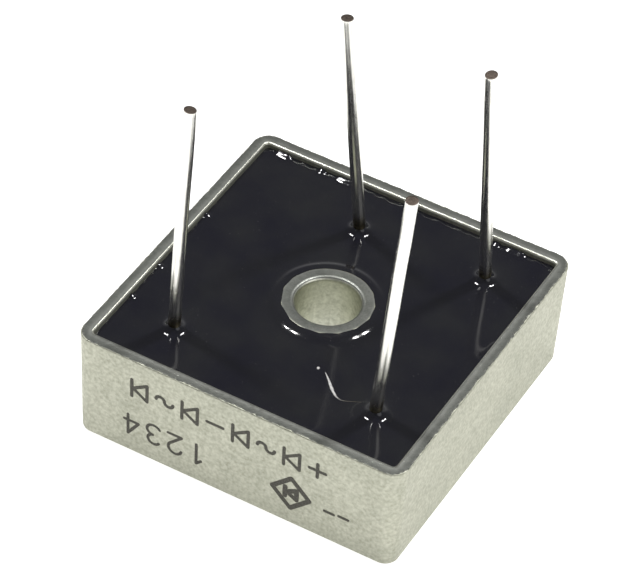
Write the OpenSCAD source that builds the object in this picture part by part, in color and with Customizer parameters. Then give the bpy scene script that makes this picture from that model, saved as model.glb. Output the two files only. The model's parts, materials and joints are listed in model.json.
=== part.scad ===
// Single-phase bridge rectifier: a square aluminium case with a screw boss, potted with
// epoxy round four diode dies, their copper plates and clips, and four round wire leads.
// The origin is the centre of the flat base and +Z points out of the potted side.

/* [Case] */
// Width of the square case at its rim
case_w = 28.5; // [27:0.1:31]
// Height of the case from its base to its rim
case_h = 10; // [9:0.1:12]
// Thickness of the case floor
floor_t = 2; // [1.5:0.1:2.5]
// Thickness of the side walls at the rim
wall_t = 1.03; // [0.8:0.01:1.5]
// How far each side slopes in from the rim to the base
side_taper = 0.23; // [0.05:0.01:0.4]
// Radius of the upright outer corners at the rim
corner_r = 1.4; // [1.2:0.1:2]
// Radius of the upright inner corners
inner_corner_r = 0.3; // [0.2:0.05:0.8]
// Radius round the lower outer edge
base_edge_r = 0.6; // [0.3:0.1:0.7]

/* [Screw boss] */
// Diameter of the through hole for the fixing screw
hole_d = 5.2; // [4.8:0.1:5.6]
// Outer diameter of the boss
boss_d = 7.4; // [6.6:0.1:8]
// Depth of the boss's top below the rim
boss_drop = 0.4; // [0.2:0.05:0.8]
// Chamfer round the boss's top outer edge
boss_chamfer = 0.1; // [0.05:0.05:0.3]
// Chamfer at both ends of the through hole
hole_chamfer = 0.15; // [0.05:0.05:0.3]

/* [Potting] */
// Depth of the potting's flat field below the rim
fill_drop = 0.6; // [0.4:0.05:1]
// Height that the potting creeps up the walls
wall_creep = 0.3; // [0.1:0.05:0.35]
// Height that the potting creeps up the boss
boss_creep = 0.08; // [0.02:0.02:0.1]
// Width of the sloping ring round the boss
boss_creep_w = 0.8; // [0.4:0.05:0.9]
// Height that the potting creeps up each lead
lead_creep = 0.3; // [0.1:0.05:0.5]
// Width of the sloping ring round each lead
lead_creep_w = 0.6; // [0.3:0.1:0.8]

/* [Leads] */
// Diameter of the leads
lead_d = 1; // [0.8:0.05:1.2]
// Length of each lead above the potting, along its wire
lead_free = 22; // [15:0.5:30]
// Height of each lead's bend over the potting that creeps up it
bend_over = 0.25; // [0.15:0.05:0.5]
// Diameter of the flat head at each lead's foot
head_d = 2.2; // [1.8:0.1:2.6]
// Thickness of the flat head
head_t = 0.35; // [0.2:0.05:0.5]

/* [Lead places, where each leaves the potting] */
// Positive lead to the near edge of the second die
positive_to_die = 1.55; // [1.5:0.01:2]
// Positive lead to the back inner wall
positive_to_back = 4.62; // [4:0.01:5]
// Negative lead to the right inner wall
negative_to_right = 4.19; // [3.6:0.01:5]
// Negative lead to the front inner wall
negative_to_front = 4.62; // [3.6:0.01:5]
// First AC lead to the left inner wall
ac_1_to_left = 4.72; // [3.6:0.01:5]
// First AC lead to the front inner wall
ac_1_to_front = 4.27; // [3.6:0.01:5]
// Second AC lead to the right inner wall
ac_2_to_right = 4.19; // [3.6:0.01:5]
// Second AC lead to the back inner wall
ac_2_to_back = 4.22; // [3.6:0.01:5]

/* [Lead lean] */
// Lean of the positive lead from upright, in degrees
positive_lean_angle = 6; // [0.5:0.1:8]
// Way that the positive lead leans, in degrees from +X
positive_heading_angle = -140; // [-180:1:180]
// Lean of the negative lead from upright, in degrees
negative_lean_angle = 3.4; // [0.5:0.1:8]
// Way that the negative lead leans, in degrees from +X
negative_heading_angle = 12; // [-180:1:180]
// Lean of the first AC lead from upright, in degrees
ac_1_lean_angle = 1.6; // [0.5:0.1:8]
// Way that the first AC lead leans, in degrees from +X
ac_1_heading_angle = 42; // [-180:1:180]
// Lean of the second AC lead from upright, in degrees
ac_2_lean_angle = 5; // [0.5:0.1:8]
// Way that the second AC lead leans, in degrees from +X
ac_2_heading_angle = -107; // [-180:1:180]

/* [Insulator] */
// Thickness of the insulating sheet
insulator_t = 0.5; // [0.3:0.05:0.8]
// Clearance round the sheet, at the walls and at the boss
insulator_gap = 0.4; // [0.2:0.05:0.6]

/* [Plates] */
// Thickness of the copper plates
plate_t = 0.8; // [0.5:0.05:1.2]
// Gap between neighbouring plates
plate_gap = 0.8; // [0.5:0.1:1.2]
// Bare edge of the insulator outside the plates
plate_inset = 0.6; // [0.3:0.05:0.8]
// Gap between the plates and the boss
boss_gap = 0.7; // [0.5:0.05:1]
// Where the positive plate ends and the second AC plate begins, from the centre
split_x = 3.2; // [2.9:0.05:3.6]

/* [Diodes] */
// Width of the square diode dies
die_w = 3; // [2.4:0.1:3.2]
// Thickness of the dies
die_t = 0.3; // [0.2:0.05:0.5]
// Thickness of every solder layer
solder_t = 0.1; // [0.05:0.05:0.15]
// Margin of the solder inside what it joins
solder_margin = 0.15; // [0.1:0.05:0.3]
// Distance from a die or a clip's foot to the plate edge that its clip crosses
bridge_margin = 0.9; // [0.3:0.1:1]
// Distance from the second die to the same kind of edge, on the narrow end of its plate
short_margin = 0.3; // [0.2:0.05:0.4]
// Distance of the two outer dies' centres from the plates' outer edges
outer_die_inset = 3.6; // [3:0.1:4]
// Distance of the two inner dies from the boss's cut-out
boss_die_gap = 0.5; // [0.3:0.1:0.8]

/* [Clips] */
// Width of the clips
clip_w = 2; // [1.4:0.1:2.2]
// Thickness of the clips' strip
clip_t = 0.4; // [0.3:0.05:0.6]
// Length of the flat pad at each end of a clip
clip_pad = 1.8; // [1.4:0.1:2]
// Rise of a clip's arch over its pad on the die
clip_rise = 0.5; // [0.3:0.1:0.8]

/* [Hidden] */
$fn = 64;
cut_over = 1;  // how far a cut runs past what it cuts through

// Insides of the case
inner_w = case_w - 2 * wall_t;
boss_z = case_h - boss_drop;
fill_z = case_h - fill_drop;
fill_h = fill_z - floor_t;

// Heights of the stack on the floor
plate_z = floor_t + insulator_t;
plate_top_z = plate_z + plate_t;
joint_top_z = plate_top_z + solder_t;
die_top_z = joint_top_z + die_t;
clip_top_z = die_top_z + solder_t;

// Plan of the plates
sheet_w = inner_w - 2 * insulator_gap;
plate_out = sheet_w / 2 - plate_inset;
plate_in = plate_gap / 2;
cutout_r = boss_d / 2 + boss_gap;

// Plan of the dies, and of the clips' feet on the next plates
die_edge = plate_in + bridge_margin + die_w / 2;
foot_edge = plate_in + bridge_margin + clip_pad / 2;
outer_die_x = plate_out - outer_die_inset;
inner_die_y = cutout_r + boss_die_gap + die_w / 2;
die_1 = [-outer_die_x, die_edge];
die_2 = [split_x - plate_in - short_margin - die_w / 2, inner_die_y];
die_3 = [-die_edge, -inner_die_y];
die_4 = [outer_die_x, die_edge];
span_long = die_edge + foot_edge;
span_short = split_x + foot_edge - die_2[0];

// Leads: where each leaves the potting, its lean and its heading
lead_r = lead_d / 2;
bend_ball_r = 1.01 * lead_r;  // ball that joins the upright run to the leaning one
bend_z = fill_z + lead_creep + bend_over;
wall = inner_w / 2;
positive = [
    die_2[0] - die_w / 2 - positive_to_die,
    wall - positive_to_back,
    positive_lean_angle,
    positive_heading_angle
];
negative = [
    wall - negative_to_right,
    negative_to_front - wall,
    negative_lean_angle,
    negative_heading_angle
];
ac_1 = [ac_1_to_left - wall, ac_1_to_front - wall, ac_1_lean_angle, ac_1_heading_angle];
ac_2 = [wall - ac_2_to_right, wall - ac_2_to_back, ac_2_lean_angle, ac_2_heading_angle];
LEADS = [positive, negative, ac_1, ac_2];

copper = "#b87345";
tin = "#c9c9c4";
silicon = "#5a5d66";

// Radial outline that leans out by draft over its height h, with its lower edge rounded
module lean_outline(reach, h, draft, edge_r) {
    slope = draft / h;
    skew = sqrt(1 + slope * slope);
    arc_x = reach - draft + slope * edge_r - edge_r * skew;
    polygon([
        [0, 0],
        [arc_x, 0],
        [arc_x, edge_r],
        [arc_x + edge_r / skew, edge_r - edge_r * slope / skew],
        [reach, h],
        [0, h]
    ]);
    translate([arc_x, edge_r]) intersection() {
        circle(r = edge_r);
        translate([0, -edge_r]) square(edge_r);
    }
}

// Square block whose upright corners and sides take the outline given as its child,
// measured outwards from the corners' centres
module square_block(w, h, r) {
    reach = w / 2 - r;
    translate([-reach, -reach, 0]) cube([2 * reach, 2 * reach, h]);
    for (turn = [0:90:270]) rotate(turn) translate([reach, reach, 0]) {
        rotate_extrude(angle = 90) children();
        rotate([90, 0, 0]) linear_extrude(2 * reach) children();
    }
}

// Square block with upright sides
module plain_block(w, h, r) {
    square_block(w, h, r) square([r, h]);
}

// Boss with no hole, which the potting and the insulator go round
module boss() {
    boss_r = boss_d / 2;
    cylinder(r = boss_r, h = boss_z - boss_chamfer);
    translate([0, 0, boss_z - boss_chamfer])
        cylinder(r1 = boss_r, r2 = boss_r - boss_chamfer, h = boss_chamfer);
}

// Through hole with a chamfer at both ends
module screw_hole() {
    hole_r = hole_d / 2;
    translate([0, 0, -cut_over]) cylinder(r = hole_r, h = boss_z + 2 * cut_over);
    translate([0, 0, -hole_chamfer])
        cylinder(r1 = hole_r + 2 * hole_chamfer, r2 = hole_r, h = 2 * hole_chamfer);
    translate([0, 0, boss_z - hole_chamfer])
        cylinder(r1 = hole_r, r2 = hole_r + 2 * hole_chamfer, h = 2 * hole_chamfer);
}

module case() {
    color("#b9bab2") difference() {
        union() {
            difference() {
                square_block(case_w, case_h, corner_r)
                    lean_outline(corner_r, case_h, side_taper, base_edge_r);
                translate([0, 0, floor_t]) plain_block(inner_w, case_h, inner_corner_r);
            }
            boss();
        }
        screw_hole();
    }
}

// Fill of the case, creeping up its walls over a band as wide as the inner corners' radius
module fill() {
    square_block(inner_w, fill_h, inner_corner_r) polygon([
        [0, 0],
        [inner_corner_r, 0],
        [inner_corner_r, fill_h + wall_creep],
        [0, fill_h]
    ]);
}

// Cone of potting that slopes up from the flat field to a round post, and on inside it
module creep_ring(post_r, w, rise) {
    inside = min(0.5, post_r / w / 2);
    translate([0, 0, fill_z - rise]) cylinder(
        r1 = post_r + 2 * w,
        r2 = post_r - inside * w,
        h = (2 + inside) * rise
    );
}

module potting() {
    color("#26262a") difference() {
        union() {
            translate([0, 0, floor_t]) fill();
            creep_ring(boss_d / 2, boss_creep_w, boss_creep);
            for (place = LEADS) translate([place[0], place[1], 0])
                creep_ring(lead_r, lead_creep_w, lead_creep);
        }
        boss();
        insulator();
        plate_positive();
        plate_negative();
        plate_ac_1();
        plate_ac_2();
        for (place = [1:4]) {
            die(place);
            die_solder(place);
            clip(place);
            clip_solder_top(place);
            clip_solder_foot(place);
        }
        for (place = LEADS) {
            lead(place);
            lead_solder(place);
        }
    }
}

module insulator() {
    color("#e9e6dc") translate([0, 0, floor_t]) difference() {
        plain_block(sheet_w, insulator_t, inner_corner_r);
        translate([0, 0, -cut_over])
            cylinder(r = boss_d / 2 + insulator_gap, h = insulator_t + 2 * cut_over);
    }
}

// Copper plate over a rectangle, cut out round the boss
module plate(x_low, x_high, y_low, y_high) {
    color(copper) translate([0, 0, plate_z]) difference() {
        translate([x_low, y_low, 0]) cube([x_high - x_low, y_high - y_low, plate_t]);
        translate([0, 0, -cut_over]) cylinder(r = cutout_r, h = plate_t + 2 * cut_over);
    }
}

module plate_positive() {
    plate(-plate_out, split_x - plate_in, plate_in, plate_out);
}

module plate_negative() {
    plate(plate_in, plate_out, -plate_out, -plate_in);
}

module plate_ac_1() {
    plate(-plate_out, -plate_in, -plate_out, -plate_in);
}

module plate_ac_2() {
    plate(split_x + plate_in, plate_out, plate_in, plate_out);
}

// Puts its child at one of the four dies, with +X along that die's clip
module at_die(place) {
    centre = [die_1, die_2, die_3, die_4][place - 1];
    turn = [-90, 0, 0, -90][place - 1];
    translate([centre[0], centre[1], 0]) rotate(turn) children();
}

// Distance from a die's centre to its clip's foot
function clip_span(place) = place == 2 ? span_short : span_long;

// Flat square pad at height z
module pad(w, z, t) {
    translate([-w / 2, -w / 2, z]) cube([w, w, t]);
}

module die(place) {
    color(silicon) at_die(place) pad(die_w, joint_top_z, die_t);
}

module die_solder(place) {
    color(tin) at_die(place) pad(die_w - 2 * solder_margin, plate_top_z, solder_t);
}

module clip_solder_top(place) {
    color(tin) at_die(place) pad(clip_pad - 2 * solder_margin, die_top_z, solder_t);
}

module clip_solder_foot(place) {
    color(tin) at_die(place) translate([clip_span(place), 0, 0])
        pad(clip_pad - 2 * solder_margin, plate_top_z, solder_t);
}

// Bent strip: a pad on the die, an arch over the gap between the plates, and a foot
module clip(place) {
    span = clip_span(place);
    half = clip_pad / 2;
    arch_z = clip_top_z + clip_rise;
    arch_in = half + clip_rise + clip_t;
    arch_out = span - half - clip_rise - clip_t;
    lower = [
        [-half, clip_top_z],
        [half, clip_top_z],
        [arch_in, arch_z],
        [arch_out, arch_z],
        [span - half, joint_top_z],
        [span + half, joint_top_z]
    ];
    upper = [for (i = [len(lower) - 1:-1:0]) lower[i] + [0, clip_t]];
    color(copper) at_die(place) rotate([90, 0, 0]) translate([0, 0, -clip_w / 2])
        linear_extrude(clip_w) polygon(concat(lower, upper));
}

// Puts its child at a lead's foot, with +X the way that the lead leans
module at_lead(place) {
    translate([place[0], place[1], 0]) rotate(place[3]) children();
}

// Wire on a flat head: upright in the potting, bent just above it, and straight to its cut end
module lead(place) {
    free = lead_free - (bend_z - fill_z);
    color(tin) at_lead(place) {
        translate([0, 0, joint_top_z]) {
            cylinder(d = head_d, h = head_t);
            cylinder(r = lead_r, h = bend_z - joint_top_z);
        }
        translate([0, 0, bend_z]) {
            sphere(r = bend_ball_r);
            rotate([0, place[2], 0]) cylinder(r = lead_r, h = free);
        }
    }
}

module lead_solder(place) {
    color(tin) at_lead(place) translate([0, 0, plate_top_z])
        cylinder(d = head_d + 2 * solder_margin, h = solder_t);
}

case();
potting();
insulator();
plate_positive();
plate_negative();
plate_ac_1();
plate_ac_2();
die(1);  // diode_1
die(2);  // diode_2
die(3);  // diode_3
die(4);  // diode_4
die_solder(1);  // die_solder_1
die_solder(2);  // die_solder_2
die_solder(3);  // die_solder_3
die_solder(4);  // die_solder_4
clip(1);  // clip_1
clip(2);  // clip_2
clip(3);  // clip_3
clip(4);  // clip_4
clip_solder_top(1);  // clip_solder_top_1
clip_solder_top(2);  // clip_solder_top_2
clip_solder_top(3);  // clip_solder_top_3
clip_solder_top(4);  // clip_solder_top_4
clip_solder_foot(1);  // clip_solder_foot_1
clip_solder_foot(2);  // clip_solder_foot_2
clip_solder_foot(3);  // clip_solder_foot_3
clip_solder_foot(4);  // clip_solder_foot_4
lead(positive);  // lead_positive
lead(negative);  // lead_negative
lead(ac_1);  // lead_ac_1
lead(ac_2);  // lead_ac_2
lead_solder(positive);  // lead_solder_positive
lead_solder(negative);  // lead_solder_negative
lead_solder(ac_1);  // lead_solder_ac_1
lead_solder(ac_2);  // lead_solder_ac_2
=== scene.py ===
import json
import math

import bmesh
import bpy
import numpy as np
from mathutils import Matrix, Vector, noise
from mathutils.geometry import delaunay_2d_cdt


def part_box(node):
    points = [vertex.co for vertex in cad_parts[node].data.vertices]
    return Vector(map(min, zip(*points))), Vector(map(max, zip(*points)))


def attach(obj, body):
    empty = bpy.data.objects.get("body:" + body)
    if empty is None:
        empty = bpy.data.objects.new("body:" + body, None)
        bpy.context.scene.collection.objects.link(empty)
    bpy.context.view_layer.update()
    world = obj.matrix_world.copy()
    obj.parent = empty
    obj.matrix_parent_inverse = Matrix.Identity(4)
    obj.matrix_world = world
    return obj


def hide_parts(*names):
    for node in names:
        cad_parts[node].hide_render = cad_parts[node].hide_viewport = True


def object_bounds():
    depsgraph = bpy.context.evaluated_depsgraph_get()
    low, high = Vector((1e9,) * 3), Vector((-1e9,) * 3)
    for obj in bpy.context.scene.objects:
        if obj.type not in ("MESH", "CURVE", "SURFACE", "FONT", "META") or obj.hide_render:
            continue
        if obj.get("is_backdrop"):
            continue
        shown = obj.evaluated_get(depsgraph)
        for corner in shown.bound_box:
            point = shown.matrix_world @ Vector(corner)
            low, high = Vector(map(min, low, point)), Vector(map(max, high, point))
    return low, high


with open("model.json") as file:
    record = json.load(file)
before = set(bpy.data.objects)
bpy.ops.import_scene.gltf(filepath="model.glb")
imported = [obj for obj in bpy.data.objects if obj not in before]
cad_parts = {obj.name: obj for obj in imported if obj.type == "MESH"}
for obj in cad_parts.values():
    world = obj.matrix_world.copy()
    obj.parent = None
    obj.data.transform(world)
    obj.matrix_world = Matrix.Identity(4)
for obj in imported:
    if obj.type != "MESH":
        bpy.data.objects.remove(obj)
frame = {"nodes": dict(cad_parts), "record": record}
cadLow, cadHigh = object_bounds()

mm = 0.001
mounts = {mount["name"]: mount for mount in frame["record"]["mounts"]}
caseLow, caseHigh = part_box("case")
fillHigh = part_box("potting")[1]
leadNames = ("positive", "negative", "ac_1", "ac_2")
print("frame loaded")


# Small tools that every piece shares

def ripple(x, y, z, size, seed):  # smooth noise from about -1 to 1, with bumps of that size
    return noise.noise(Vector((x / size + seed, y / size - 2 * seed, z / size + 3 * seed)))


def smoothStep(low, high, value):
    share = min(1, max(0, (value - low) / (high - low)))
    return share * share * (3 - 2 * share)


def addNode(tree, kind, inputs=None, **settings):
    made = tree.nodes.new(kind)
    for name, value in settings.items():
        setattr(made, name, value)
    for name, value in (inputs or {}).items():
        if isinstance(value, bpy.types.NodeSocket):
            tree.links.new(value, made.inputs[name])
        else:
            made.inputs[name].default_value = value
    return made


def newMaterial(name):
    material = bpy.data.materials.new(name)
    material.use_nodes = True
    shader = material.node_tree.nodes["Principled BSDF"]
    place = addNode(material.node_tree, "ShaderNodeTexCoord").outputs["Object"]
    return material, material.node_tree, shader, place


def grain(tree, place, size, detail=3.0, rough=0.55):  # noise texture with bumps of that size
    made = addNode(tree, "ShaderNodeTexNoise", {"Vector": place, "Scale": 1 / size,
                   "Detail": detail, "Roughness": rough})
    return made.outputs["Fac"]


def ramp(tree, value, stops):  # value to colour, or to grey
    made = addNode(tree, "ShaderNodeValToRGB", {"Fac": value})
    marks = made.color_ramp.elements
    while len(marks) < len(stops):
        marks.new(0.5)
    for mark, (where, colour) in zip(marks, stops):
        grey = isinstance(colour, (int, float))
        mark.position = where
        mark.color = (colour, colour, colour, 1) if grey else (*colour, 1)
    return made.outputs["Color"]


def mixColours(tree, share, first, second, blend="MIX"):
    made = addNode(tree, "ShaderNodeMix", data_type="RGBA", blend_type=blend)
    for slot, value in ((0, share), (6, first), (7, second)):
        if isinstance(value, bpy.types.NodeSocket):
            tree.links.new(value, made.inputs[slot])
        else:
            made.inputs[slot].default_value = value if slot == 0 else (*value, 1)
    return made.outputs[2]


def bump(tree, shader, height, depth, strength=1.0):  # depth in metres
    made = addNode(tree, "ShaderNodeBump", {"Height": height, "Distance": depth,
                   "Strength": strength})
    tree.links.new(made.outputs["Normal"], shader.inputs["Normal"])


def makePiece(name, points, faces, materials, indices=None, sharp=None):
    mesh = bpy.data.meshes.new(name)
    mesh.from_pydata([tuple(p) for p in points], [], faces)
    for material in materials:
        mesh.materials.append(material)
    if indices is not None:
        mesh.polygons.foreach_set("material_index", indices)
    mesh.shade_smooth()
    if sharp:
        mesh.set_sharp_from_angle(angle=math.radians(sharp))
    mesh.update()
    piece = bpy.data.objects.new(name, mesh)
    bpy.context.scene.collection.objects.link(piece)
    return piece


def ringFaces(rings, count, closed=False):  # quads between rings of count points each
    faces = []
    for k in range(rings if closed else rings - 1):
        a, b = k * count, (k + 1) % rings * count
        for i in range(count):
            j = (i + 1) % count
            faces.append((a + i, a + j, b + j, b + i))
    return faces


# Materials

metalLook = {
    "castDark": (0.43, 0.432, 0.35), "castLight": (0.57, 0.572, 0.48),
    # milled tops of rim and boss: darker than the cast sides, partly the finish, partly painted
    # shade
    "milledShadedDark": (0.21, 0.22, 0.2), "milledShadedLight": (0.42, 0.43, 0.395),
    # torn outer edge: torn metal darkened with painted shade of the burr
    "tornShadeDark": (0.1, 0.105, 0.092), "tornShadeLight": (0.26, 0.265, 0.24),
    # screw hole and the rim's inner edge: a lighter copy of the aluminium, painted light
    "litBoreDark": (0.58, 0.59, 0.5), "litBoreLight": (0.8, 0.805, 0.71),
}


def castAluminium():
    material, tree, shader, place = newMaterial("castAluminium")
    fine = grain(tree, place, 0.28 * mm, 4)
    wide = grain(tree, place, 3.2 * mm, 2)
    speck = grain(tree, place, 0.11 * mm, 2)
    light, dark = metalLook["castLight"], metalLook["castDark"]
    colour = ramp(tree, fine, ((0.28, dark), (0.66, light)))
    stain = ramp(tree, wide, ((0.3, (0.93, 0.935, 0.92)), (0.68, (1.03, 1.03, 1.02))))
    colour = mixColours(tree, 1.0, colour, stain, "MULTIPLY")
    pits = ramp(tree, speck, ((0.22, 0.8), (0.33, 1.0)))
    colour = mixColours(tree, 1.0, colour, pits, "MULTIPLY")
    tree.links.new(colour, shader.inputs["Base Color"])
    tree.links.new(ramp(tree, fine, ((0.3, 0.62), (0.7, 0.46))), shader.inputs["Roughness"])
    shader.inputs["Metallic"].default_value = 1.0
    bump(tree, shader, fine, 0.012 * mm, 0.6)
    return material


# rim and boss tops: a darker copy of the aluminium, partly its milled finish, partly painted shade
# of the top faces
def milledShadedAluminium():
    material, tree, shader, place = newMaterial("milledShadedAluminium")
    fine = grain(tree, place, 0.16 * mm, 4)
    wide = grain(tree, place, 1.4 * mm, 3)
    light, dark = metalLook["milledShadedLight"], metalLook["milledShadedDark"]
    # lightness from the mesh: painted shade on the torn edge, painted highlights on the inner and
    # boss edges
    toneAndPaintedLight = addNode(tree, "ShaderNodeAttribute", attribute_name="toneAndPaintedLight").outputs["Fac"]
    colour = ramp(tree, toneAndPaintedLight, ((0.0, dark), (1.0, light)))
    blotch = ramp(tree, wide, ((0.3, 0.86), (0.7, 1.05)))
    colour = mixColours(tree, 1.0, colour, blotch, "MULTIPLY")
    wear = ramp(tree, fine, ((0.25, 0.74), (0.6, 1.0)))
    colour = mixColours(tree, 1.0, colour, wear, "MULTIPLY")
    tree.links.new(colour, shader.inputs["Base Color"])
    tree.links.new(ramp(tree, fine, ((0.3, 0.5), (0.7, 0.32))), shader.inputs["Roughness"])
    shader.inputs["Metallic"].default_value = 1.0
    bump(tree, shader, fine, 0.01 * mm, 0.7)
    return material


def tornShadeAluminium():  # torn metal along the rolled edge, darkened as painted shade of the burr
    material, tree, shader, place = newMaterial("tornShadeAluminium")
    fine = grain(tree, place, 0.2 * mm, 4)
    stops = ((0.32, metalLook["tornShadeDark"]), (0.68, metalLook["tornShadeLight"]))
    tree.links.new(ramp(tree, fine, stops), shader.inputs["Base Color"])
    tree.links.new(ramp(tree, fine, ((0.3, 0.7), (0.7, 0.5))), shader.inputs["Roughness"])
    shader.inputs["Metallic"].default_value = 1.0
    bump(tree, shader, fine, 0.03 * mm, 0.8)
    return material


def litBoreAluminium():  # wall of the screw hole, and the rounded inner edge of the rim: a lighter copy of the aluminium, painted light where these faces stand lit
    material, tree, shader, place = newMaterial("litBoreAluminium")
    fine = grain(tree, place, 0.3 * mm, 4)
    stops = ((0.3, metalLook["litBoreDark"]), (0.68, metalLook["litBoreLight"]))
    tree.links.new(ramp(tree, fine, stops), shader.inputs["Base Color"])
    tree.links.new(ramp(tree, fine, ((0.3, 0.42), (0.7, 0.3))), shader.inputs["Roughness"])
    shader.inputs["Metallic"].default_value = 1.0
    bump(tree, shader, fine, 0.012 * mm, 0.6)
    return material


epoxyLook = {"dark": (0.009, 0.009, 0.0155), "light": (0.017, 0.0174, 0.02)}


def pottingEpoxy():
    material, tree, shader, place = newMaterial("pottingEpoxy")
    cloud = grain(tree, place, 4.5 * mm, 3)
    fine = grain(tree, place, 0.35 * mm, 3)
    speck = grain(tree, place, 0.2 * mm, 1)
    colour = ramp(tree, cloud, ((0.3, epoxyLook["dark"]), (0.7, epoxyLook["light"])))
    dust = ramp(tree, speck, ((0.74, 0.0), (0.8, 0.3)))
    colour = mixColours(tree, dust, colour, (0.16, 0.155, 0.15))
    tree.links.new(colour, shader.inputs["Base Color"])
    tree.links.new(ramp(tree, fine, ((0.3, 0.05), (0.75, 0.11))), shader.inputs["Roughness"])
    shader.inputs["IOR"].default_value = 1.52
    bump(tree, shader, cloud, 0.006 * mm, 0.5)
    return material


leadLook = {
    "tin": (0.93, 0.92, 0.87), "tinDull": (0.8, 0.79, 0.73), "bareAndShade": (0.34, 0.3, 0.2),
    "headReach": 1.1 * mm, "headThick": 0.35 * mm,  # flat head on the plate
    "bendReach": 0.4 * mm,                          # half the length of the bend
    "sway": 0.035 * mm, "swaySize": 5 * mm,         # how far the drawn wire strays
    "points": 40,
}


def tinnedWire():
    material, tree, shader, place = newMaterial("tinnedWire")
    stretched = addNode(tree, "ShaderNodeMapping", {"Vector": place, "Scale": (1, 1, 0.06)})
    streak = grain(tree, stretched.outputs["Vector"], 0.12 * mm, 3)
    blot = grain(tree, place, 0.6 * mm, 3)
    # dark lower part above the epoxy: partly bare copper, partly painted reflection of the dark
    # epoxy
    bareAndShade = addNode(tree, "ShaderNodeAttribute", attribute_name="bareAndShade").outputs["Fac"]
    tin = ramp(tree, streak, ((0.3, leadLook["tinDull"]), (0.62, leadLook["tin"])))
    copperAndShade = ramp(tree, blot, ((0.35, (0.09, 0.075, 0.045)), (0.65, leadLook["bareAndShade"])))
    tree.links.new(mixColours(tree, bareAndShade, tin, copperAndShade), shader.inputs["Base Color"])
    rough = ramp(tree, streak, ((0.3, 0.26), (0.7, 0.16)))
    rough = mixColours(tree, bareAndShade, rough, (0.3, 0.3, 0.3))
    tree.links.new(rough, shader.inputs["Roughness"])
    shader.inputs["Metallic"].default_value = 1.0
    bump(tree, shader, streak, 0.004 * mm, 0.5)
    return material


def shearedEnd():
    material, tree, shader, place = newMaterial("shearedEnd")
    fine = grain(tree, place, 0.1 * mm, 3)
    colour = ramp(tree, fine, ((0.3, (0.06, 0.05, 0.045)), (0.7, (0.2, 0.16, 0.13))))
    tree.links.new(colour, shader.inputs["Base Color"])
    tree.links.new(ramp(tree, fine, ((0.3, 0.65), (0.7, 0.45))), shader.inputs["Roughness"])
    shader.inputs["Metallic"].default_value = 1.0
    bump(tree, shader, fine, 0.02 * mm, 0.8)
    return material


def plainMetal(name, dark, light, rough, size):  # the metals sealed inside
    material, tree, shader, place = newMaterial(name)
    fine = grain(tree, place, size, 4)
    tree.links.new(ramp(tree, fine, ((0.3, dark), (0.7, light))), shader.inputs["Base Color"])
    tree.links.new(ramp(tree, fine, ((0.3, rough + 0.1), (0.7, rough - 0.08))),
                   shader.inputs["Roughness"])
    shader.inputs["Metallic"].default_value = 1.0
    bump(tree, shader, fine, 0.01 * mm, 0.5)
    return material


def plainStone(name, dark, light, rough, size):  # ceramic and silicon
    material, tree, shader, place = newMaterial(name)
    fine = grain(tree, place, size, 4)
    tree.links.new(ramp(tree, fine, ((0.3, dark), (0.7, light))), shader.inputs["Base Color"])
    tree.links.new(ramp(tree, fine, ((0.3, rough + 0.08), (0.7, rough - 0.08))),
                   shader.inputs["Roughness"])
    bump(tree, shader, fine, 0.006 * mm, 0.5)
    return material


def markingInk():
    material, tree, shader, place = newMaterial("markingInk")
    fine = grain(tree, place, 0.12 * mm, 3)
    colour = ramp(tree, fine, ((0.3, (0.085, 0.08, 0.065)), (0.75, (0.2, 0.195, 0.16))))
    tree.links.new(colour, shader.inputs["Base Color"])
    tree.links.new(ramp(tree, fine, ((0.3, 0.6), (0.7, 0.75))), shader.inputs["Roughness"])
    bump(tree, shader, fine, 0.004 * mm, 0.5)
    return material


def resinAndHighlight():
    material, tree, shader, place = newMaterial("resinAndHighlight")
    fine = grain(tree, place, 0.15 * mm, 3)
    # pale colour: partly the resin's own, partly a painted highlight along the thread
    colour = ramp(tree, fine, ((0.3, (0.4, 0.39, 0.38)), (0.6, (0.8, 0.79, 0.77))))
    brown = addNode(tree, "ShaderNodeAttribute", attribute_name="brown").outputs["Fac"]
    colour = mixColours(tree, brown, colour, (0.06, 0.05, 0.032))
    tree.links.new(colour, shader.inputs["Base Color"])
    tree.links.new(ramp(tree, fine, ((0.3, 0.5), (0.7, 0.3))), shader.inputs["Roughness"])
    bump(tree, shader, fine, 0.01 * mm, 0.5)
    return material


cast, milledShaded, tornShade, bore = castAluminium(), milledShadedAluminium(), tornShadeAluminium(), litBoreAluminium()
epoxy = pottingEpoxy()
tinned, sheared, ink, resin = tinnedWire(), shearedEnd(), markingInk(), resinAndHighlight()
insideLooks = {
    "plate": plainMetal("rolledCopper", (0.62, 0.33, 0.2), (0.8, 0.48, 0.32), 0.35, 0.5 * mm),
    "solder": plainMetal("solderAlloy", (0.45, 0.45, 0.46), (0.62, 0.62, 0.63), 0.4, 0.3 * mm),
    "diode": plainStone("silicon", (0.13, 0.14, 0.17), (0.2, 0.21, 0.25), 0.25, 0.4 * mm),
    "insulator": plainStone("whiteCeramic", (0.78, 0.77, 0.72), (0.88, 0.87, 0.83), 0.5, 0.4 * mm),
}
insideLooks["clip"] = insideLooks["plate"]
print("materials made")


# Case: one closed skin, from the hole over the underside, sides, rim and boss to the hole again

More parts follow.
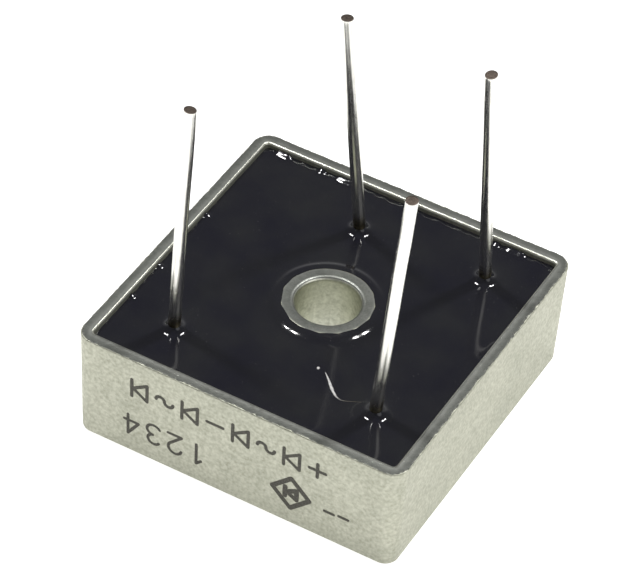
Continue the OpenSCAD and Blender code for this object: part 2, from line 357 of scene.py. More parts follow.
caseLook = {
    "taper": 0.23 * mm,           # how far the sides lean in at the base
    "outerCorner": 1.4 * mm,
    "innerCorner": 0.3 * mm,
    "baseEdge": 0.2 * mm,
    "floorThick": 2 * mm,
    "bossReach": 3.7 * mm,
    "bossDrop": 0.4 * mm,
    "holeChamfer": 0.32 * mm,
    "edgeRound": 0.07 * mm,       # boss's edge
    "innerRound": 0.2 * mm,       # rim's worn inner edge
    "innerFlare": 0.1 * mm,       # how much rounder its corners are at the top
    "burrWidth": 0.16 * mm,       # rolled outer edge of the rim
    "burrDepth": 0.16 * mm,
    "burrSize": 0.35 * mm,
    "lip": 0.016 * mm,            # how far the roll stands out
    "tear": 0.09 * mm, "tearSize": 0.3 * mm,
    "sideWave": 0.012 * mm, "sideWaveSize": 4 * mm,
    "rimWave": 0.006 * mm, "rimWaveSize": 0.5 * mm,
    "boreWave": 0.006, "boreWaveSize": 1.2 * mm,
    "toneWave": 0.22, "toneSize": 0.45 * mm,
    "sideSteps": 240, "cornerSteps": 20,
    # heights of the rings, in mm
    "sideRings": (0.3, 0.8, 2, 3.5, 5, 6.5, 8, 9, 9.5, 9.7),
    "cupRings": (9.65, 9.3, 8.5, 5.5),
    "bossRings": (2, 5, 8.5, 9.2, 9.4),
    "boreRings": (9.0, 8, 6.5, 4.5, 2.5, 0.5),
    # how light the milled metal is, from 0 to 1, at shares of the rim and at reaches in mm, with
    # painted light in it:
    # painted shade on the torn outer edge
    "tornShadeTone": 0.15,
    # lighter towards the rim's inside
    "rimTones": ((0.38, 0.35), (0.5, 0.5), (0.6, 0.85), (0.74, 1.0)),
    # painted highlight on the rim's rounded inner edge
    "edgeTones": (0.9, 0.8, 0.9, 1, 1, 1),
    # painted highlight at the boss's outer edge, darker towards the hole
    "bossTones": ((3.58, 0.8), (3.45, 0.45), (3.2, 0.4), (2.98, 0.25)),
}
castFinish, milledShadedFinish, tornShadeFinish, litBoreFinish = range(4)


def squareLoop(half, corner, sideSteps, cornerSteps):
    reach = half - corner
    side = np.linspace(-reach, reach, sideSteps, endpoint=False)
    turn = np.radians(np.linspace(0, 90, cornerSteps, endpoint=False))
    quarter = np.concatenate([
        np.stack([np.full(sideSteps, half), side], 1),
        np.stack([reach + corner * np.cos(turn), reach + corner * np.sin(turn)], 1)])
    parts = []
    for k in range(4):
        c, s = round(math.cos(k * math.pi / 2)), round(math.sin(k * math.pi / 2))
        parts.append(quarter @ np.array([[c, s], [-s, c]]))
    return np.concatenate(parts)


def buildCase():
    look = caseLook
    half, top = caseHigh.x, caseHigh.z
    inner = fillHigh.x
    holeReach = mounts["mounting_hole"]["dims"]["r_mm"] * mm
    bossTop = top - look["bossDrop"]
    steps = look["sideSteps"], look["cornerSteps"]
    outline = squareLoop(half, look["outerCorner"], *steps)
    turn = np.arctan2(outline[:, 1], outline[:, 0])
    away = np.stack([np.cos(turn), np.sin(turn)], 1)
    stations, finish, tones = [], {}, {}

    def ring(flat, z):
        z = np.full(len(outline), z) if np.isscalar(z) else z
        stations.append(np.column_stack([flat, z]))

    def square(reach, corner, z):
        ring(squareLoop(reach, corner, *steps), z)

    def circle(reach, z):
        ring(away * reach, z)

    def halfAt(z):
        return half - look["taper"] * (1 - z / top)

    def quarter(steps):  # shares of sine and cosine over a quarter turn
        turns = [math.radians(90 * k / steps) for k in range(steps + 1)]
        return [(math.sin(a), math.cos(a)) for a in turns]

    # underside, from the hole's lower edge outwards
    chamfer, edge = look["holeChamfer"], look["baseEdge"]
    circle(holeReach + chamfer, 0)
    circle(holeReach + chamfer + 0.05 * mm, 0)
    circle(holeReach + 1.5 * mm, 0)
    flatReach = halfAt(0) - edge
    corner = look["outerCorner"] - look["taper"]
    square(flatReach - 0.3 * mm, corner - edge + 0.05 * mm, 0)
    square(flatReach - 0.03 * mm, corner - edge + 0.02 * mm, 0)
    for out, up in quarter(8):  # rounded lower edge
        square(flatReach + edge * out, max(0.2 * mm, corner - edge + edge * out), edge * (1 - up))

    # sides, a little uneven
    for z in look["sideRings"]:
        z *= mm
        flat = squareLoop(halfAt(z), look["outerCorner"] - look["taper"] * (1 - z / top), *steps)
        fade = smoothStep(0.6 * mm, 2 * mm, z)
        push = np.array([fade * look["sideWave"] * ripple(x, y, z, look["sideWaveSize"], 3.1)
                         for x, y in flat])
        ring(flat + away * push[:, None], z)

    # rolled and torn outer edge of the rim
    burr = look["burrWidth"]
    size = look["burrSize"]
    wide = np.array([burr * (0.75 + 0.9 * ripple(x, y, 0, size, 7.7)
                    + 0.5 * ripple(x, y, 0, 4 * size, 1.3)) for x, y in outline])
    wide = np.clip(wide, 0.025 * mm, 0.3 * mm)
    deep = np.array([burr * (0.8 + 0.8 * ripple(x, y, 0, 0.7 * size, 4.4)) for x, y in outline])
    deep = np.clip(deep, 0.03 * mm, look["burrDepth"])
    lip = np.array([look["lip"] * (0.5 + ripple(x, y, 0, 1.2 * size, 9.2)) for x, y in outline])
    for up, out in quarter(5):
        flat = outline - away * (wide * (1 - out))[:, None]
        ring(flat + away * (lip * out)[:, None], top - deep * (1 - up))
    first = len(stations) - 2

    # milled rim, painted darker than the sides as shade; torn at its outer edge, painted dark
    # there as shade of the burr
    def wavy(flat, z, seed):  # flat ring with tool marks
        size = look["rimWaveSize"]
        ring(flat, z + look["rimWave"] * np.array([ripple(x, y, 0, size, seed)
                                                   for x, y in flat]))

    span = half - inner
    tear = np.array([look["tear"] * (1 + 0.9 * ripple(x, y, 0, look["tearSize"], 6.6))
                     for x, y in outline])
    flat = outline - away * (wide + np.maximum(0.02 * mm, tear))[:, None]
    ring(flat, top)
    finish.update({k: tornShadeFinish for k in range(first, len(stations) - 1)})
    first = len(stations) - 1
    tones[first] = look["tornShadeTone"]
    for share, tone in look["rimTones"]:
        tones[len(stations)] = tone
        corner = look["outerCorner"] + (look["innerCorner"] - look["outerCorner"]) * share
        wavy(squareLoop(half - span * share, corner, *steps), top, 2.2)
    edge, last = look["innerRound"], len(look["edgeTones"]) - 1
    for k, (down, out) in enumerate(quarter(last)):
        corner = look["innerCorner"] + look["innerFlare"] * (1 - k / last)
        square(inner + edge * (1 - down), corner, top - edge * (1 - out))
        tones[len(stations) - 1] = look["edgeTones"][k]
    finish.update({k: milledShadedFinish for k in range(first, len(stations) - last)})
    # the rim's rounded inner edge takes the lighter, painted-light bore finish
    finish.update({k: litBoreFinish for k in range(len(stations) - last, len(stations) - 1)})

    # inside wall and floor under the epoxy
    for z in look["cupRings"]:
        square(inner, look["innerCorner"], z * mm)
    square(inner, look["innerCorner"], look["floorThick"])
    square(inner - 0.4 * mm, look["innerCorner"], look["floorThick"])
    circle(look["bossReach"] + 1.2 * mm, look["floorThick"])

    # boss
    boss, edge = look["bossReach"], look["edgeRound"]
    for z in look["bossRings"]:
        circle(boss, z * mm)
    for up, out in quarter(4):
        circle(boss - edge * (1 - out), bossTop - edge * (1 - up))
    first = len(stations) - 1
    for reach, tone in look["bossTones"]:
        tones[len(stations)] = tone
        wavy(away * reach * mm, bossTop, 5.2)
    for out, down in quarter(6):  # rounded mouth of the hole
        circle(holeReach + chamfer * (1 - out), bossTop - chamfer * (1 - down))

    # bore, from the lower part of its mouth down
    finish.update({k: milledShadedFinish for k in range(first, len(stations) - 4)})
    first = len(stations) - 4
    for z in look["boreRings"]:
        z *= mm
        size = look["boreWaveSize"]
        wave = np.array([1 + look["boreWave"] * ripple(x * 0.2, y * 0.2, z, size, 8.8)
                         for x, y in away])
        ring(away * (holeReach * wave)[:, None], z)
    for down, out in quarter(4)[:-1]:
        circle(holeReach + chamfer * (1 - out), chamfer * (1 - down))
    finish.update({k: litBoreFinish for k in range(first, len(stations))})

    count, rings = len(outline), len(stations)
    faces = ringFaces(rings, count, closed=True)
    indices = [finish.get(k, castFinish) for k in range(rings) for _ in range(count)]
    points = np.concatenate(stations)
    piece = makePiece("case_shell", points, faces, [cast, milledShaded, tornShade, bore], indices)
    # lightness per ring, with painted shade and painted highlights, plus random tone
    toneAndPaintedLight = np.repeat([tones.get(k, 0.5) for k in range(rings)], count)
    toneAndPaintedLight = toneAndPaintedLight + np.array([look["toneWave"] * ripple(x, y, z, look["toneSize"], 2.9)
                            for x, y, z in points])
    piece.data.attributes.new("toneAndPaintedLight", "FLOAT", "POINT").data.foreach_set("value", toneAndPaintedLight)
    return piece


caseShell = buildCase()
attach(caseShell, "root")
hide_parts("case")
print("case made, faces:", len(caseShell.data.polygons))


# Potting: the solid's own cavities below, and above them a poured surface that creeps
# up everything it touches

fillLook = {
    "cut": 9 * mm,               # below this the solid's own faces are kept
    "field": 9.4 * mm,           # level of the open surface
    "wallRise": 0.08 * mm, "wallReach": 0.3 * mm,
    "leadRise": 0.5 * mm, "leadReach": 0.42 * mm,
    "bossRise": 0.2 * mm, "bossFrom": 4.02 * mm, "bossTo": 4.82 * mm,
    # places where it wetted a wall more: middle and half length along the wall, in mm
    "wettedBack": ((-11.6, 0.9), (-8.0, 0.35), (-5.8, 1.1), (7.95, 0.35), (9.6, 1.1)),
    "wettedLeft": ((-3.6, 0.3), (-7.7, 0.3), (3.5, 0.25)),
    "wettedRise": 0.17 * mm, "wettedFrom": 0.05 * mm, "wettedTo": 0.72 * mm,
    "wave": 0.012 * mm, "waveSize": 5 * mm,
    "gridStep": 0.5 * mm, "edgeStep": 0.2 * mm,
    # gaps in mm of the rings of points round each wire, round the boss and along the wall
    "wireGaps": (0.04, 0.09, 0.16, 0.24, 0.33, 0.43, 0.55, 0.7, 0.9, 1.15, 1.45),
    "bossGaps": (0.05, 0.11, 0.19, 0.3, 0.43, 0.58, 0.74, 0.92, 1.12, 1.35, 1.6),
    "wallGaps": (0.05, 0.11, 0.18, 0.27, 0.38, 0.52, 0.7, 0.95, 1.25),
    "wirePoints": 56, "bossPoints": 168,
}
leadPlaces = {}
for name in leadNames:
    pin = mounts["lead_%s_pin" % name]
    axis = Vector(pin["axis"])
    wireReach = pin["dims"]["r_mm"] * mm
    low = Vector(pin["pos_m"]) - axis * pin["dims"]["length_mm"] * mm / 2
    bend = low - axis * 0.142 * wireReach
    tip = low + axis * pin["dims"]["length_mm"] * mm
    leadPlaces[name] = {"axis": axis, "bend": bend, "tip": tip, "reach": wireReach}


def wallGap(x, y):  # distance from the inside of the case wall
    corner = caseLook["innerCorner"]
    qx, qy = abs(x) - fillHigh.x + corner, abs(y) - fillHigh.y + corner
    out = math.hypot(max(qx, 0), max(qy, 0)) + min(max(qx, qy), 0)
    return corner - out


def surfaceHeight(x, y):
    look = fillLook
    gap = max(0, wallGap(x, y))
    z = look["field"] + look["wave"] * ripple(x, y, 0, look["waveSize"], 0.7)
    rise = look["wallRise"] * (1 + 0.5 * ripple(x, y, 0, 0.6 * mm, 2.6))
    z += rise * math.exp(-gap / look["wallReach"])
    share = 1 - smoothStep(look["wettedFrom"], look["wettedTo"], gap)
    for spots, along, beside in ((look["wettedBack"], x, y), (look["wettedLeft"], y, -x)):
        for middle, length in spots:
            away = abs(along - middle * mm) / (length * mm)
            if away < 1 and beside > 0:
                z += look["wettedRise"] * share * (1 - smoothStep(0.5, 1, away))
    spot = math.hypot(x, y) * (1 + 0.02 * ripple(x, y, 0, 2.5 * mm, 5.5))
    z += look["bossRise"] * (1 - smoothStep(look["bossFrom"], look["bossTo"], spot))
    for place in leadPlaces.values():
        gap = max(0, math.hypot(x - place["bend"].x, y - place["bend"].y) - place["reach"])
        if gap < 4 * mm:
            z += look["leadRise"] * math.exp(-gap / look["leadReach"])
    return z


def buildPotting():
    look = fillLook
    bm = bmesh.new()
    bm.from_mesh(frame["nodes"]["potting"].data)
    bmesh.ops.remove_doubles(bm, verts=bm.verts, dist=1e-7)
    bmesh.ops.bisect_plane(bm, geom=bm.verts[:] + bm.edges[:] + bm.faces[:], dist=1e-8,
                           plane_co=(0, 0, look["cut"]), plane_no=(0, 0, 1), clear_outer=True)
    for longest in (16 * mm, 2 * mm):  # long wall edges first, then what is still long
        for e in [e for e in bm.edges if e.is_boundary and e.calc_length() > longest]:
            cuts = max(1, int(e.calc_length() / look["edgeStep"]))
            bmesh.ops.bisect_edges(bm, edges=[e], cuts=cuts)

    # the cut loops, each in order
    following, loops = {}, []
    for e in [e for e in bm.edges if e.is_boundary]:
        a, b = e.verts
        following.setdefault(a, []).append(b)
        following.setdefault(b, []).append(a)
    left = set(following)
    while left:
        start = left.pop()
        loop, before, here = [start], None, start
        while True:
            nexts = [v for v in following[here] if v is not before]
            before, here = here, nexts[0]
            if here is start:
                break
            loop.append(here)
            left.discard(here)
        loops.append(loop)

    points, edges, upper = [], [], []
    for loop in loops:
        first = len(points)
        raised = []
        for k in range(len(loop)):
            x, y = loop[k].co.x, loop[k].co.y
            points.append(Vector((x, y)))
            edges.append((first + k, first + (k + 1) % len(loop)))
            raised.append(bm.verts.new((x, y, surfaceHeight(x, y))))
        upper.extend(raised)
        for k in range(len(loop)):
            j = (k + 1) % len(loop)
            bm.faces.new((loop[k], loop[j], raised[j], raised[k]))

    # rings of points round the wires, the boss and the wall, and a loose grid between
    holes = [(p["bend"].x, p["bend"].y, p["reach"]) for p in leadPlaces.values()]
    boss = (0, 0, caseLook["bossReach"])
    extra = []

    def clearOf(x, y, skip, margin):
        for hole in holes + [boss]:
            if hole is not skip and math.hypot(x - hole[0], y - hole[1]) < hole[2] + margin:
                return False
        return True

    def ringRound(hole, gaps, count):
        for n, gap in enumerate(gaps):
            for k in range(count):
                a = 2 * math.pi * (k + 0.5 * (n % 2)) / count
                reach = hole[2] + gap * mm
                extra.append((hole[0] + reach * math.cos(a), hole[1] + reach * math.sin(a)))

    for hole in holes:
        ringRound(hole, look["wireGaps"], look["wirePoints"])
    ringRound(boss, look["bossGaps"], look["bossPoints"])
    for gap in look["wallGaps"]:
        gap *= mm
        flat = squareLoop(fillHigh.x - gap, max(0.12 * mm, caseLook["innerCorner"] - gap), 150, 4)
        extra.extend((x, y) for x, y in flat if clearOf(x, y, None, 1.6 * mm))
    step = look["gridStep"]
    count = int(fillHigh.x / step)
    for i in range(-count, count + 1):
        for j in range(-count, count + 1):
            x, y = (i + 0.5 * (j % 2)) * step, j * step
            if wallGap(x, y) > 1.5 * mm and clearOf(x, y, None, 1.8 * mm):
                extra.append((x, y))
    points.extend(Vector(p) for p in extra)

    flat, _, triangles, origin, _, _ = delaunay_2d_cdt(points, edges, [], 0, 1e-9)
    made = []
    for k, p in enumerate(flat):
        source = [i for i in origin[k] if i < len(upper)]
        if source:
            made.append(upper[source[0]])
        else:
            made.append(bm.verts.new((p.x, p.y, surfaceHeight(p.x, p.y))))
    for tri in triangles:
        a, b, c = (flat[i] for i in tri)
        middle = (a + b + c) / 3
        inHole = any(math.hypot(middle.x - x, middle.y - y) < reach * 0.97
                     for x, y, reach in holes + [boss])
        area = abs((b - a).cross(c - a)) / 2
        if inHole or area < 1e-14:
            continue
        bm.faces.new([made[i] for i in tri])
    bmesh.ops.recalc_face_normals(bm, faces=bm.faces)
    print("potting open edges:", sum(not e.is_manifold for e in bm.edges))
    bmesh.ops.delete(bm, geom=[v for v in bm.verts if not v.link_faces], context="VERTS")
    mesh = bpy.data.meshes.new("potting_fill")
    bm.to_mesh(mesh)
    bm.free()
    mesh.materials.clear()
    mesh.materials.append(epoxy)
    mesh.polygons.foreach_set("material_index", [0] * len(mesh.polygons))
    mesh.shade_smooth()
    mesh.set_sharp_from_angle(angle=math.radians(38))
    mesh.update()
    piece = bpy.data.objects.new("potting_fill", mesh)
    bpy.context.scene.collection.objects.link(piece)
    return piece


potting = buildPotting()
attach(potting, "root")
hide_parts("potting")
print("potting made, faces:", len(potting.data.polygons))


# Leads: a drawn wire on a flat head, bent just above the epoxy, tinned, with a sheared end

def buildLead(name, seed):
    look, place = leadLook, leadPlaces[name]
    axis, bend, tip, reach = place["axis"], place["bend"], place["tip"], place["reach"]
    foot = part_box("lead_" + name)[0].z
    count = look["points"]
    upright = Vector((0, 0, 1))
    free = (tip - bend).length
    path = []  # point, direction
    for z in np.linspace(foot + look["headThick"], bend.z - look["bendReach"], 9):
        path.append((Vector((bend.x, bend.y, z)), upright))
    start, end = bend - upright * look["bendReach"], bend + axis * look["bendReach"]
    for k in range(1, 8):
        t = k / 8
        where = start * (1 - t) ** 2 + bend * 2 * t * (1 - t) + end * t ** 2
        path.append((where, upright.lerp(axis, t).normalized()))
    side = (Vector((1, 0, 0)) - axis * axis.x).normalized()
    other = axis.cross(side)
    for along in np.linspace(look["bendReach"], free, 70):
        fade = smoothStep(0, 3 * mm, along) * (1 - smoothStep(free - 2 * mm, free, along))
        sway = side * ripple(along, 0, 0, look["swaySize"], seed) \
            + other * ripple(0, along, 0, look["swaySize"], seed + 5)
        path.append((bend + axis * along + sway * look["sway"] * fade, axis))

    points, rings, bareAndShade = [], 0, []

    def addRing(centre, direction, radius, wobble=0.0, tilt=0.0):
        nonlocal rings
        across = (Vector((1, 0, 0)) - direction * direction.x).normalized()
        up = direction.cross(across)
        for k in range(count):
            a = 2 * math.pi * k / count
            r = radius
            if wobble:
                r *= 1 + wobble * ripple(math.cos(a) * 0.3 * mm, math.sin(a) * 0.3 * mm,
                                         centre.z, 0.8 * mm, seed)
            p = centre + across * r * math.cos(a) + up * r * math.sin(a)
            p = p + direction * tilt * math.cos(a + seed)
            points.append(p)
            # lower part painted dark: partly bare copper, partly painted reflection of the dark
            # epoxy
            level = p.z - fillLook["field"]
            edge = 1.9 * mm + 0.7 * mm * ripple(math.cos(a) * 0.5 * mm, math.sin(a) * 0.5 * mm,
                                                0, 0.6 * mm, seed + 2)
            bareAndShade.append(1 - smoothStep(edge - 1.1 * mm, edge + 0.5 * mm, level))
        rings += 1

    base = Vector((bend.x, bend.y, foot))
    head, thick = look["headReach"], look["headThick"]
    addRing(base, upright, head * 0.5)
    addRing(base, upright, head - 0.05 * mm)
    addRing(base + upright * 0.05 * mm, upright, head)
    addRing(base + upright * (thick - 0.05 * mm), upright, head)
    addRing(base + upright * thick, upright, head - 0.05 * mm)
    addRing(base + upright * thick, upright, reach + 0.12 * mm)
    addRing(base + upright * (thick + 0.04 * mm), upright, reach + 0.03 * mm)
    addRing(base + upright * (thick + 0.12 * mm), upright, reach)
    for where, direction in path[1:-1]:
        addRing(where, direction, reach, 0.012 if where.z > fillLook["field"] + mm else 0)
    tilt = 0.05 * mm
    where, direction = path[-1]
    addRing(where - direction * 0.12 * mm, direction, reach * 0.995, 0.02, tilt * 0.6)
    addRing(where - direction * 0.05 * mm, direction, reach * 0.98, 0.03, tilt)
    wireRings = rings
    addRing(where - direction * 0.03 * mm, direction, reach * 0.9, 0.04, tilt)
    addRing(where - direction * 0.05 * mm, direction, reach * 0.6, 0.06, tilt * 0.7)
    addRing(where - direction * 0.04 * mm, direction, reach * 0.25, 0.0, tilt * 0.3)
    faces = ringFaces(rings, count)
    indices = [1 if k >= wireRings - 1 else 0 for k in range(rings - 1) for _ in range(count)]
    points.append(base)
    bareAndShade.append(1)
    points.append(where - direction * 0.035 * mm)
    bareAndShade.append(0)
    for k in range(count):
        j = (k + 1) % count
        faces.append((j, k, len(points) - 2))
        indices.append(0)
        faces.append(((rings - 1) * count + k, (rings - 1) * count + j, len(points) - 1))
        indices.append(1)
    piece = makePiece("wire_" + name, points, faces, [tinned, sheared], indices, sharp=50)
    piece.data.attributes.new("bareAndShade", "FLOAT", "POINT").data.foreach_set("value", bareAndShade)
    return piece


for seed, name in enumerate(leadNames):
    wire = buildLead(name, 1.9 + 3.3 * seed)
    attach(wire, "root")
    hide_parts("lead_" + name)
print("leads made")


# Marking: terminal signs, plain numbers and diode symbols in ink, upside down when the
# leads stand up

markLook = {"thick": 0.014 * mm, "sink": 0.012 * mm, "row1": 0.29 * mm, "row2": 0.26 * mm,
            "symbol": 0.42 * mm}


def arc(cx, cy, rx, ry, low, high, steps=14):
    return [(cx + rx * math.cos(math.radians(low + (high - low) * k / steps)),
             cy + ry * math.sin(math.radians(low + (high - low) * k / steps)))
            for k in range(steps + 1)]


# Each glyph is a list of pen strokes in a box one high
glyphs = {
    "plus": [[(0.05, 0.5), (0.65, 0.5)], [(0.35, 0.2), (0.35, 0.8)]],
    "minus": [[(0.05, 0.5), (0.65, 0.5)]],
    "wave": [arc(0.19, 0.5, 0.16, 0.15, 180, 0, 10) + arc(0.51, 0.5, 0.16, 0.15, 180, 360, 10)],
    "diode": [[(0.06, 0.14), (0.06, 0.86), (0.6, 0.5), (0.06, 0.14)],
              [(0.64, 0.12), (0.64, 0.88)]],
    "1": [[(0.16, 0.78), (0.36, 0.98), (0.36, 0.0)]],
    "2": [arc(0.34, 0.7, 0.28, 0.28, 165, -35, 12) + [(0.06, 0.02), (0.64, 0.02)]],
    "3": [arc(0.32, 0.74, 0.25, 0.24, 150, -80, 12) + arc(0.32, 0.26, 0.29, 0.26, 80, -150, 12)],
    "4": [[(0.5, 0.0), (0.5, 0.98), (0.05, 0.3), (0.66, 0.3)]],
}


def inkMesh(strokes, width):  # strokes in metres on the flat, as triangles without overlaps
    points, faces = [], []
    for stroke in strokes:
        for (ax, ay), (bx, by) in zip(stroke, stroke[1:]):
            turn = math.atan2(by - ay, bx - ax)
            capsule = []
            for cx, cy, low in ((bx, by, turn - math.pi / 2), (ax, ay, turn + math.pi / 2)):
                for k in range(7):
                    a = low + math.pi * k / 6
                    capsule.append(Vector((cx + width / 2 * math.cos(a),
                                           cy + width / 2 * math.sin(a))))
            faces.append(list(range(len(points), len(points) + len(capsule))))
            points.extend(capsule)
    flat, _, tris, _, _, origin = delaunay_2d_cdt(points, [], faces, 0, 1e-8)
    kept = [t for t, source in zip(tris, origin) if source]
    return flat, kept


def buildMarks(name, strokes, width):
    flat, tris = inkMesh(strokes, width)
    used = sorted({i for t in tris for i in t})
    place = {v: k for k, v in enumerate(used)}
    top = caseHigh.z
    half = caseHigh.x

    def onFace(x, z, lift):
        y = -(half - caseLook["taper"] * (1 - z / top)) - lift
        return (x, y, z)

    points = [onFace(flat[v].x, flat[v].y, markLook["thick"]) for v in used]
    points += [onFace(flat[v].x, flat[v].y, -markLook["sink"]) for v in used]
    n = len(used)
    faces, sides = [], {}
    for t in tris:
        a, b, c = (place[i] for i in t)
        faces.append((a, b, c))
        faces.append((c + n, b + n, a + n))
        for e in ((a, b), (b, c), (c, a)):
            sides[e] = True
    for a, b in list(sides):
        if (b, a) not in sides:
            faces.append((b, a, a + n, b + n))
    return makePiece(name, points, faces, [ink], sharp=40)


def placeGlyph(glyph, x, z, size):  # x, z: its lower left corner when read, with the leads down
    return [[(x - gx * size, z - gy * size) for gx, gy in stroke] for stroke in glyphs[glyph]]


marks = []
rowStrokes = []
for k, glyph in enumerate(("plus", "diode", "wave", "diode", "minus", "diode", "wave", "diode")):
    rowStrokes += placeGlyph(glyph, (8.15 - 2.24 * k) * mm, 8.25 * mm, 2.35 * mm)
marks.append(buildMarks("marking_signs", rowStrokes, markLook["row1"]))
rowStrokes = []
for k, glyph in enumerate(("1", "2", "3", "4")):
    rowStrokes += placeGlyph(glyph, (-2.45 - 1.95 * k) * mm, 4.0 * mm, 2.1 * mm)
marks.append(buildMarks("marking_numbers", rowStrokes, markLook["row2"]))
cx, cz, reach = 5.15 * mm, 3.35 * mm, 1.62 * mm
symbol = [[(cx - reach, cz), (cx, cz + reach), (cx + reach, cz), (cx, cz - reach),
           (cx - reach, cz)],
          [(cx + 0.5 * mm, cz - 0.5 * mm), (cx + 0.5 * mm, cz + 0.5 * mm), (cx - 0.35 * mm, cz),
           (cx + 0.5 * mm, cz - 0.5 * mm)],
          [(cx - 0.5 * mm, cz - 0.5 * mm), (cx - 0.5 * mm, cz + 0.5 * mm)]]
marks.append(buildMarks("marking_bridge_symbol", symbol, markLook["symbol"]))
dashes = [[(8.1 * mm, 3.1 * mm), (8.9 * mm, 3.1 * mm)],
          [(9.35 * mm, 3.2 * mm), (10.15 * mm, 3.2 * mm)]]
marks.append(buildMarks("marking_dashes", dashes, markLook["row2"]))
for piece in marks:
    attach(piece, "root")
print("marking made")


# Scratch: a thread of torn resin on the epoxy, pale partly from the resin and partly as a painted
# highlight

scratchLook = {
    # plan in mm, half width in mm and how brown
    "threads": (
        ((2.93, -6.55, 0.03, 0), (2.95, -6.63, 0.11, 0), (2.99, -6.78, 0.11, 0),
         (3.02, -6.86, 0.03, 0)),
        ((3.62, -6.8, 0.02, 0), (3.85, -6.99, 0.05, 0), (4.3, -7.42, 0.09, 0),
         (4.74, -7.89, 0.12, 0), (5.16, -8.3, 0.11, 0), (5.56, -8.62, 0.08, 0.1),
         (5.92, -8.77, 0.05, 0.6), (6.3, -8.78, 0.035, 0.9), (7.0, -8.45, 0.03, 1),
         (7.7, -8.12, 0.015, 1)),
    ),
    "height": 0.04,
}


def buildScratch():
    look, count = scratchLook, 8
    points, faces, brown = [], [], []
    for thread in look["threads"]:
        fine = []
        for k in range(len(thread) - 1):
            for t in np.linspace(0, 1, 6, endpoint=False):
                fine.append([a * (1 - t) + b * t for a, b in zip(thread[k], thread[k + 1])])
        fine = np.array(fine + [thread[-1]])
        smooth = np.array([fine[max(0, k - 2):k + 3].mean(axis=0) for k in range(len(fine))])
        first = len(points)
        for k, (px, py, width, share) in enumerate(smooth):
            ahead = smooth[min(len(smooth) - 1, k + 1)] - smooth[max(0, k - 1)]
            ahead = Vector((ahead[0], ahead[1])).normalized()
            width *= mm * (1 + 0.3 * ripple(px * mm, py * mm, 0, 0.25 * mm, 3.3))
            for n in range(count):
                a = 2 * math.pi * n / count
                x = px * mm - ahead.y * width * math.cos(a)
                y = py * mm + ahead.x * width * math.cos(a)
                lift = look["height"] * mm * (width / (0.12 * mm)) * math.sin(a)
                points.append((x, y, surfaceHeight(x, y) + lift))
                brown.append(share)
        faces += [tuple(first + i for i in face) for face in ringFaces(len(smooth), count)]
        faces.append(tuple(range(first, first + count))[::-1])
        faces.append(tuple(range(len(points) - count, len(points))))
    piece = makePiece("epoxy_scratch", points, faces, [resin])
    piece.data.attributes.new("brown", "FLOAT", "POINT").data.foreach_set("value", brown)
    return piece


scratch = buildScratch()
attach(scratch, "root")
print("scratch made")


# Sealed pieces keep their solids and take their finish

for name, node in frame["nodes"].items():
    kind = "solder" if "solder" in name else name.split("_")[0]
    if kind in insideLooks:
        node.data.materials.clear()
        node.data.materials.append(insideLooks[kind])
print("inside pieces dressed")


# Floor, world, lamps and camera

stageLook = {"floorReach": 3, "floorAlbedo": 0.62, "seenLight": 0.9, "mirroredLight": 0.72,
             "ceiling": 0.17, "horizon": 0.5, "ceilingFrom": 0.05, "ceilingTo": 0.45}


def buildFloor():
    reach = stageLook["floorReach"]
    drop = caseLow.z - 0.01 * mm
    steps = 8
    grid = np.linspace(-reach, reach, steps + 1)
    points = [(x, y, drop) for y in grid for x in grid]
    faces = [(j * (steps + 1) + i, j * (steps + 1) + i + 1, (j + 1) * (steps + 1) + i + 1,
              (j + 1) * (steps + 1) + i) for j in range(steps) for i in range(steps)]
    material = bpy.data.materials.new("paleFloor")
    material.use_nodes = True
    tree = material.node_tree
    tree.nodes.clear()
    ray = addNode(tree, "ShaderNodeLightPath")
    seen = addNode(tree, "ShaderNodeMapRange", {"Value": ray.outputs["Is Camera Ray"],
                   "To Min": 0, "To Max": stageLook["seenLight"]})
    glow = addNode(tree, "ShaderNodeMapRange", {"Value": ray.outputs["Is Glossy Ray"],
                   "To Min": seen.outputs[0], "To Max": stageLook["mirroredLight"]})
    albedo = stageLook["floorAlbedo"]
    matte = addNode(tree, "ShaderNodeBsdfDiffuse", {"Color": (albedo, albedo, albedo, 1)})
    shine = addNode(tree, "ShaderNodeEmission", {"Strength": glow.outputs[0]})
    both = addNode(tree, "ShaderNodeAddShader")
    tree.links.new(matte.outputs[0], both.inputs[0])
    tree.links.new(shine.outputs[0], both.inputs[1])
    out = addNode(tree, "ShaderNodeOutputMaterial")
    tree.links.new(both.outputs[0], out.inputs["Surface"])
    floor = makePiece("floor", points, faces, [material])
    floor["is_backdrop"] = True


def buildWorld():
    world = bpy.data.worlds.new("paleRoom")
    bpy.context.scene.world = world
    world.use_nodes = True
    tree = world.node_tree
    back = tree.nodes["Background"]
    look = addNode(tree, "ShaderNodeTexCoord").outputs["Generated"]
    parts = addNode(tree, "ShaderNodeSeparateXYZ", {"Vector": look})
    height = addNode(tree, "ShaderNodeMapRange", {"Value": parts.outputs["Z"],
                     "From Min": stageLook["ceilingFrom"], "From Max": stageLook["ceilingTo"],
                     "To Min": stageLook["horizon"], "To Max": stageLook["ceiling"]},
                     interpolation_type="SMOOTHSTEP")
    ray = addNode(tree, "ShaderNodeLightPath")
    level = mixColours(tree, ray.outputs["Is Camera Ray"], height.outputs["Result"], (1, 1, 1))
    tree.links.new(level, back.inputs["Color"])
    back.inputs["Strength"].default_value = 1.0


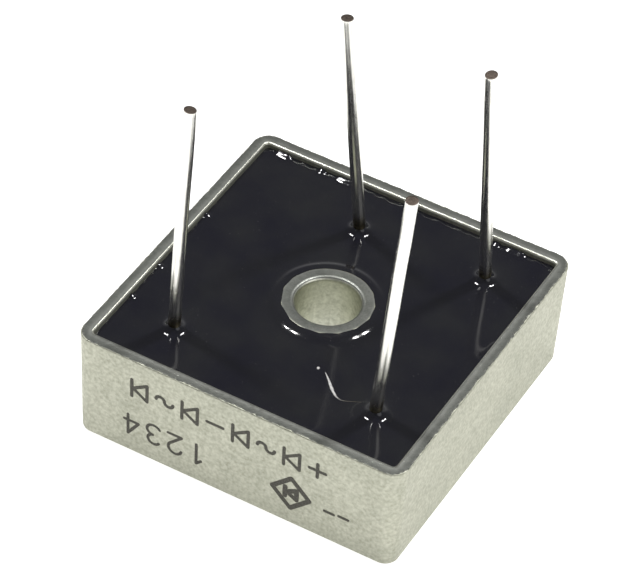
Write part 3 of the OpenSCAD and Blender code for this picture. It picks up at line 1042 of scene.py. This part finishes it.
lampLook = {
    "leftInner": {"towards": (-0.378, 0.058, 0.924), "power": 2.2, "size": 0.085},
    "leftOuter": {"towards": (-0.486, 0.099, 0.868), "power": 1.8, "size": 0.085},
    "rightInner": {"towards": (0.184, 0.358, 0.915), "power": 2.2, "size": 0.085},
    "rightOuter": {"towards": (0.211, 0.477, 0.853), "power": 2.0, "size": 0.085},
    "fill": {"towards": (0.9, -0.15, 0.42), "power": 2.5, "size": 1.0},
    "distance": 1.0,
}


def buildLamps():
    middle = (caseLow + caseHigh) / 2
    for name, look in lampLook.items():
        if name == "distance":
            continue
        towards = Vector(look["towards"]).normalized()
        lamp = bpy.data.lights.new("softbox_" + name, "AREA")
        lamp.shape = "DISK"
        lamp.size = look["size"]
        lamp.energy = look["power"]
        holder = bpy.data.objects.new("softbox_" + name, lamp)
        holder.location = middle + towards * lampLook["distance"]
        holder.rotation_mode = "QUATERNION"
        holder.rotation_quaternion = (-towards).to_track_quat("-Z", "Y")
        bpy.context.scene.collection.objects.link(holder)


cameraLook = {"azimuth": 26.89, "elevation": 43.11, "roll": 4.17, "distance": 0.27449,
              "aimX": 0.00188, "aimY": -0.0052, "lens": 204.876}


def buildCamera():
    look = cameraLook
    az, el, roll = (math.radians(look[k]) for k in ("azimuth", "elevation", "roll"))
    back = Vector((math.sin(az) * math.cos(el), -math.cos(az) * math.cos(el), math.sin(el)))
    right = Vector((math.cos(az), math.sin(az), 0))
    up = back.cross(right)
    right, up = (right * math.cos(roll) + up * math.sin(roll),
                 up * math.cos(roll) - right * math.sin(roll))
    aim = (cadLow + cadHigh) / 2
    aim.x, aim.y = look["aimX"], look["aimY"]
    data = bpy.data.cameras.new("camera")
    data.lens = look["lens"]
    data.sensor_width = 36
    data.clip_start, data.clip_end = 0.01, 20
    camera = bpy.data.objects.new("camera", data)
    turn = Matrix((right, up, back)).transposed().to_4x4()
    camera.matrix_world = Matrix.Translation(aim + back * look["distance"]) @ turn
    bpy.context.scene.collection.objects.link(camera)
    bpy.context.scene.camera = camera


buildFloor()
buildWorld()
buildLamps()
buildCamera()
bpy.context.scene.view_settings.view_transform = "Standard"
print("stage made")

low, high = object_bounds()
